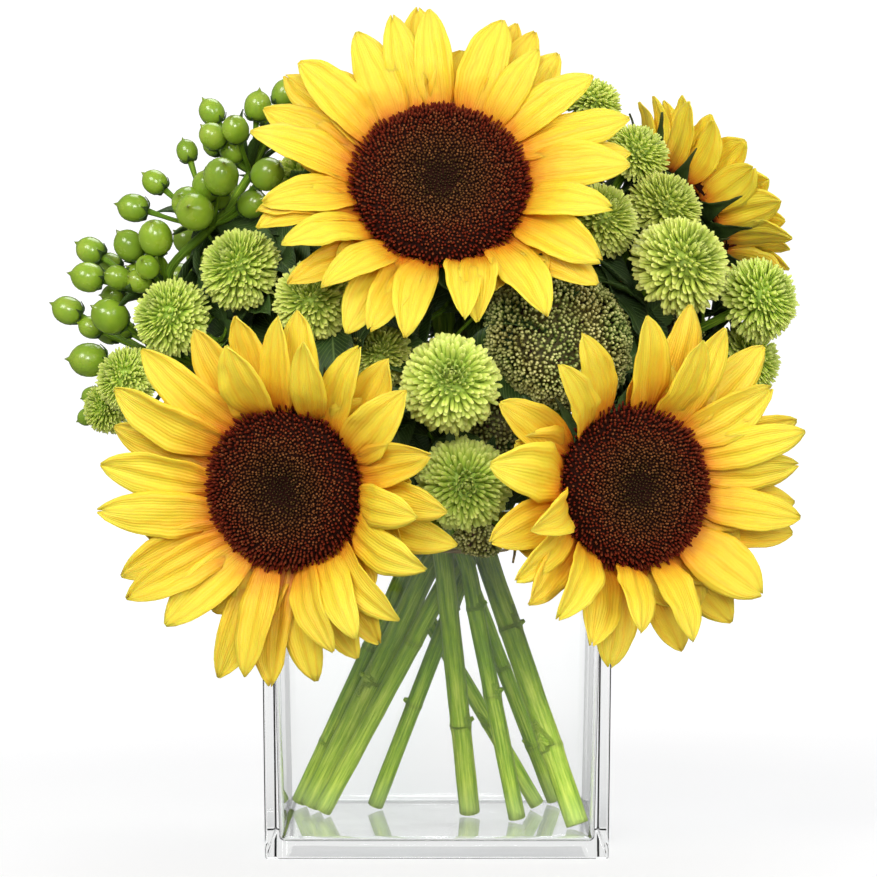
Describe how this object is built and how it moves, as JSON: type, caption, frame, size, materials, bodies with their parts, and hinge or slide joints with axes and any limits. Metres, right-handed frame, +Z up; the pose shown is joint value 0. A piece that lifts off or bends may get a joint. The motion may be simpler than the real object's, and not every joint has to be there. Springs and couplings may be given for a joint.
{
  "type": "flower arrangement in vase",
  "caption": "Round fresh-flower arrangement of sunflowers, green button mums, berries and bud heads on bound stems, standing in a clear square glass vase.",
  "frame": {"origin": "middle of the vase's flat underside", "axes": "+Z up; the front of the arrangement faces -Y; +X is to the viewer's right"},
  "size_m": [0.2848, 0.228, 0.3107],
  "materials": {
    "glass": "clear, polished",
    "twine": "matt natural raffia",
    "petals": "satin yellow ray petals, orange at the root",
    "seed_disc": "matt dark brown florets",
    "calyx": "matt dark green bracts",
    "stems": "satin fresh green stems",
    "mum_green": "matt lime green florets",
    "trachelium": "matt green buds",
    "hypericum": "glossy green berries",
    "leaves": "satin dark green leaves"
  },
  "bodies": {
    "root": {"vase": "glass", "stem_tie": "twine", "top_sunflower_petals": "petals", "top_sunflower_disc": "seed_disc", "top_sunflower_calyx": "calyx", "top_sunflower_stem": "stems", "left_sunflower_petals": "petals", "left_sunflower_disc": "seed_disc", "left_sunflower_calyx": "calyx", "left_sunflower_stem": "stems", "right_sunflower_petals": "petals", "right_sunflower_disc": "seed_disc", "right_sunflower_calyx": "calyx", "right_sunflower_stem": "stems", "rear_sunflower_petals": "petals", "rear_sunflower_disc": "seed_disc", "rear_sunflower_calyx": "calyx", "rear_sunflower_stem": "stems", "button_mum_01": "mum_green", "button_mum_02": "mum_green", "button_mum_03": "mum_green", "button_mum_04": "mum_green", "button_mum_05": "mum_green", "button_mum_06": "mum_green", "button_mum_07": "mum_green", "button_mum_08": "mum_green", "button_mum_09": "mum_green", "button_mum_10": "mum_green", "button_mum_11": "mum_green", "button_mum_12": "mum_green", "button_mum_13": "mum_green", "button_mum_14": "mum_green", "button_mum_15": "mum_green", "button_mum_16": "mum_green", "button_mum_17": "mum_green", "button_mum_18": "mum_green", "button_mum_19": "mum_green", "mum_stem_left": "stems", "mum_stem_right": "stems", "trachelium_stem": "stems", "trachelium_01": "trachelium", "trachelium_02": "trachelium", "trachelium_03": "trachelium", "trachelium_04": "trachelium", "trachelium_05": "trachelium", "trachelium_06": "trachelium", "trachelium_07": "trachelium", "hypericum_left": "hypericum", "hypericum_back": "hypericum", "hypericum_leaf_01": "leaves", "hypericum_leaf_02": "leaves", "hypericum_leaf_03": "leaves", "hypericum_leaf_04": "leaves", "hypericum_leaf_05": "leaves", "mum_leaf_01": "leaves", "mum_leaf_02": "leaves", "mum_leaf_03": "leaves", "mum_leaf_04": "leaves", "mum_leaf_05": "leaves"}
  },
  "joints": []
}
